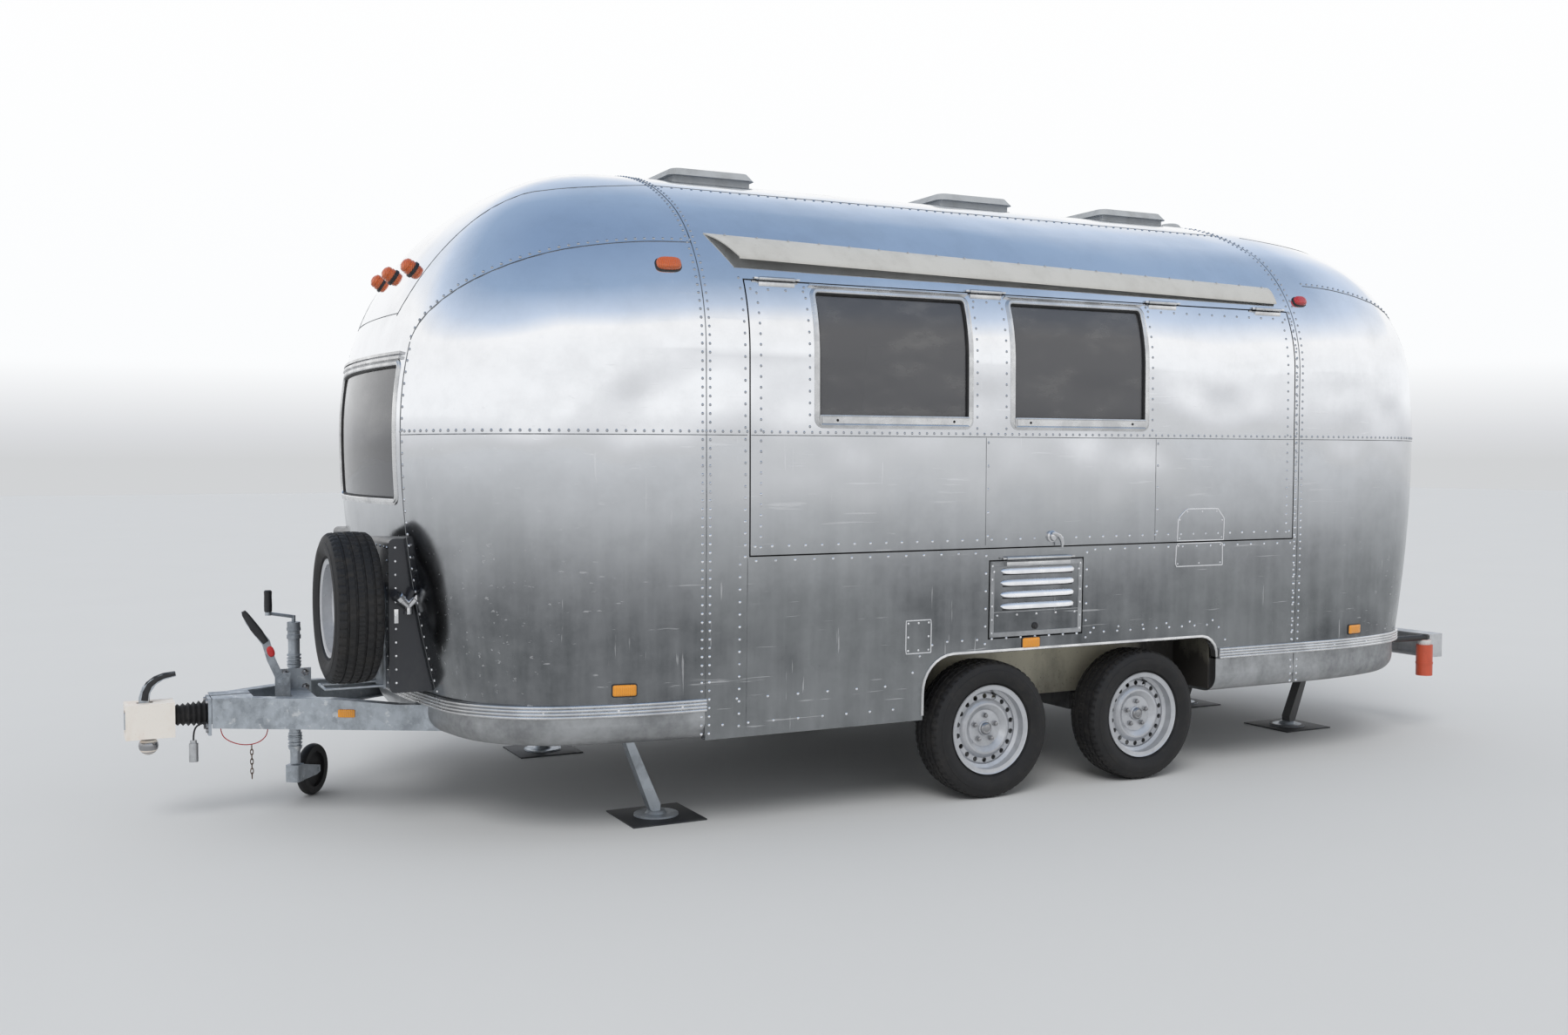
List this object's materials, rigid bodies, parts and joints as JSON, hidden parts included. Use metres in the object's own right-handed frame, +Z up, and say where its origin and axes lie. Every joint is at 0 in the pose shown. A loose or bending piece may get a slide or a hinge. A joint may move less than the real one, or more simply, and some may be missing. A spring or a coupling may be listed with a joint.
{
  "type": "travel caravan",
  "caption": "Rounded, riveted aluminium caravan on tandem wheels, with a lift-up serving hatch, entry door, drawbar, jockey wheel and corner steadies.",
  "frame": {"origin": "on the ground, below the middle of the overall length and width", "axes": "+X forward to the coupling, +Y to the caravan's left, +Z up"},
  "size_m": [6.539, 2.4118, 2.791],
  "materials": {
    "polished_aluminium": "polished sheet, scratched and slightly dented",
    "belly_aluminium": "dull sheet with road dirt",
    "frame_aluminium": "bright trim",
    "tinted_glass": "dark tinted",
    "hood_sheet": "weathered off-white",
    "vent_white": "grey-white, weathered",
    "housing_paint": "cream",
    "galvanised_steel": "hot-dip galvanised",
    "lock_paint": "cream with scuffs",
    "bellows_rubber": "black",
    "tyre_rubber": "black, slightly dusty",
    "wheel_paint": "silver grey",
    "black_box": "black, riveted",
    "bumper_paint": "light grey",
    "waste_plastic": "orange-red",
    "amber_lens": "amber lens",
    "red_lens": "red lens",
    "cable_red": "red sheath",
    "plug_metal": "cast"
  },
  "bodies": {
    "caravan": {"front_shell": "polished_aluminium", "rear_shell": "polished_aluminium", "roof_shell": "polished_aluminium", "left_side_shell": "polished_aluminium", "right_side_shell": "polished_aluminium", "belly_pan": "belly_aluminium", "wheel_housings": "housing_paint", "front_rub_rail": "polished_aluminium", "rear_rub_rail": "polished_aluminium", "hatch_hood": "hood_sheet", "window_frames": "frame_aluminium", "window_glass": "tinted_glass", "vent_bases": "vent_white", "axles": "galvanised_steel", "drawbar": "galvanised_steel", "overrun_gear": "galvanised_steel", "bellows": "bellows_rubber", "coupling_head": "galvanised_steel", "coupling_lock": "lock_paint", "jockey_outer_tube": "galvanised_steel", "spare_carrier": "galvanised_steel", "spare_tyre": "tyre_rubber", "spare_rim": "wheel_paint", "front_box": "black_box", "rear_bumper": "bumper_paint", "waste_pipe": "waste_plastic", "amber_lamps": "amber_lens", "red_lamps": "red_lens", "supply_lead": "bellows_rubber", "supply_plug": "plug_metal", "breakaway_cable": "cable_red", "steady_rails": "galvanised_steel"},
    "hatch": {"hatch_panel": "polished_aluminium", "hatch_window_frames": "frame_aluminium", "hatch_window_glass": "tinted_glass"},
    "locker_door": {"locker_door": "polished_aluminium"},
    "entry_door": {"entry_door": "polished_aluminium", "entry_door_glass": "tinted_glass"},
    "vent_lid_front": {"vent_lid_front": "vent_white"},
    "vent_lid_middle": {"vent_lid_middle": "vent_white"},
    "vent_lid_rear": {"vent_lid_rear": "vent_white"},
    "brake_lever": {"brake_lever": "galvanised_steel"},
    "jockey_tube": {"jockey_inner_tube": "galvanised_steel"},
    "jockey_fork": {"jockey_fork": "galvanised_steel"},
    "jockey_wheel": {"jockey_wheel": "tyre_rubber"},
    "wheel_front_left": {"tyre_front_left": "tyre_rubber", "rim_front_left": "wheel_paint"},
    "wheel_front_right": {"tyre_front_right": "tyre_rubber", "rim_front_right": "wheel_paint"},
    "wheel_rear_left": {"tyre_rear_left": "tyre_rubber", "rim_rear_left": "wheel_paint"},
    "wheel_rear_right": {"tyre_rear_right": "tyre_rubber", "rim_rear_right": "wheel_paint"},
    "steady_front_left": {"steady_front_left": "galvanised_steel"},
    "steady_front_right": {"steady_front_right": "galvanised_steel"},
    "steady_rear_left": {"steady_rear_left": "galvanised_steel"},
    "steady_rear_right": {"steady_rear_right": "galvanised_steel"}
  },
  "joints": [
    {"name": "hatch_hinge", "type": "hinge", "parent": "caravan", "child": "hatch", "pos_m": [-0.405, 1.11817, 2.192], "axis": [1, 0, 0], "range_deg": [0, 80]},
    {"name": "locker_hinge", "type": "hinge", "parent": "caravan", "child": "locker_door", "pos_m": [-0.3425, 1.18003, 1.047], "axis": [1, 0, 0], "range_deg": [0, 95]},
    {"name": "entry_hinge", "type": "hinge", "parent": "caravan", "child": "entry_door", "pos_m": [1.048, -1.183, 1.33], "axis": [0, 0, 1], "range_deg": [0, 110]},
    {"name": "vent_front_hinge", "type": "hinge", "parent": "caravan", "child": "vent_lid_front", "pos_m": [0.99, 0, 2.7573], "axis": [0, 1, 0], "range_deg": [0, 40]},
    {"name": "vent_middle_hinge", "type": "hinge", "parent": "caravan", "child": "vent_lid_middle", "pos_m": [-0.44, 0, 2.7573], "axis": [0, 1, 0], "range_deg": [0, 40]},
    {"name": "vent_rear_hinge", "type": "hinge", "parent": "caravan", "child": "vent_lid_rear", "pos_m": [-1.445, 0, 2.7573], "axis": [0, 1, 0], "range_deg": [0, 40]},
    {"name": "brake_lever_hinge", "type": "hinge", "parent": "caravan", "child": "brake_lever", "pos_m": [2.655, 0.04, 0.56], "axis": [0, 1, 0], "range_deg": [-45, 0]},
    {"name": "jockey_slide", "type": "slide", "parent": "caravan", "child": "jockey_tube", "axis": [0, 0, 1], "range_m": [0, 0.05]},
    {"name": "jockey_swivel", "type": "hinge", "parent": "jockey_tube", "child": "jockey_fork", "pos_m": [2.58, -0.17, 0.15], "axis": [0, 0, 1], "continuous": true},
    {"name": "jockey_spin", "type": "hinge", "parent": "jockey_fork", "child": "jockey_wheel", "pos_m": [2.49274, -0.2858, 0.112], "axis": [0.7986, -0.6018, 0], "continuous": true},
    {"name": "wheel_front_left_spin", "type": "hinge", "parent": "caravan", "child": "wheel_front_left", "pos_m": [-0.129, 1.055, 0.3], "axis": [0, 1, 0], "continuous": true},
    {"name": "wheel_front_right_spin", "type": "hinge", "parent": "caravan", "child": "wheel_front_right", "pos_m": [-0.129, -1.055, 0.3], "axis": [0, 1, 0], "continuous": true},
    {"name": "wheel_rear_left_spin", "type": "hinge", "parent": "caravan", "child": "wheel_rear_left", "pos_m": [-0.971, 1.055, 0.3], "axis": [0, 1, 0], "continuous": true},
    {"name": "wheel_rear_right_spin", "type": "hinge", "parent": "caravan", "child": "wheel_rear_right", "pos_m": [-0.971, -1.055, 0.3], "axis": [0, 1, 0], "continuous": true},
    {"name": "steady_front_left_hinge", "type": "hinge", "parent": "caravan", "child": "steady_front_left", "pos_m": [1.422, 0.77, 0.34], "axis": [0, 1, 0], "range_deg": [0, 50]},
    {"name": "steady_front_right_hinge", "type": "hinge", "parent": "caravan", "child": "steady_front_right", "pos_m": [1.422, -0.77, 0.34], "axis": [0, 1, 0], "range_deg": [0, 50]},
    {"name": "steady_rear_left_hinge", "type": "hinge", "parent": "caravan", "child": "steady_rear_left", "pos_m": [-2.732, 0.42, 0.34], "axis": [0, -1, 0], "range_deg": [0, 50]},
    {"name": "steady_rear_right_hinge", "type": "hinge", "parent": "caravan", "child": "steady_rear_right", "pos_m": [-2.732, -0.42, 0.34], "axis": [0, -1, 0], "range_deg": [0, 50]}
  ]
}
